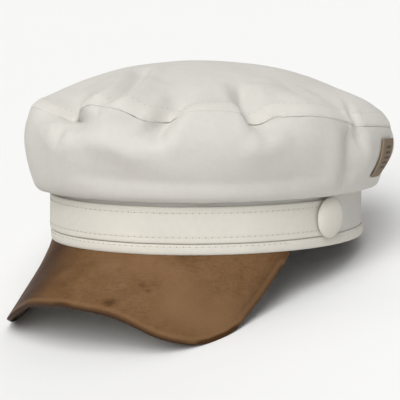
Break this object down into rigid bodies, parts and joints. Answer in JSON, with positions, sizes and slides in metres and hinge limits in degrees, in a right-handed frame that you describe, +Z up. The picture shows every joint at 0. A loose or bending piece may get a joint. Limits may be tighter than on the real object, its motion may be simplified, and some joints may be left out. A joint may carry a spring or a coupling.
{
  "type": "captain hat",
  "caption": "Soft cloth captain hat with a puffed crown on an upright band, a front strap with covered side buttons and a curved leather peak.",
  "frame": {"origin": "on the surface the hat rests on, below the middle of its bounding box", "axes": "+Z up, -Y to the front where the peak points, +X to the wearer's left; the hat leans back 13 degrees because it rests on the peak's edge and the rear of the hem"},
  "size_m": [0.204, 0.2672, 0.133],
  "materials": {
    "crown_cloth": "off-white brushed cotton twill",
    "band_cloth": "off-white cotton twill, doubled and topstitched",
    "strap_cloth": "off-white cotton twill, doubled and topstitched",
    "peak_leather": "brown leather with mottled patina",
    "label_weave": "tan woven label"
  },
  "bodies": {
    "root": {"crown_top": "crown_cloth", "crown_side_front": "crown_cloth", "crown_side_back": "crown_cloth", "band": "band_cloth", "hem": "band_cloth", "strap": "strap_cloth", "button_left": "strap_cloth", "button_right": "strap_cloth", "peak": "peak_leather", "side_label": "label_weave"}
  },
  "joints": []
}
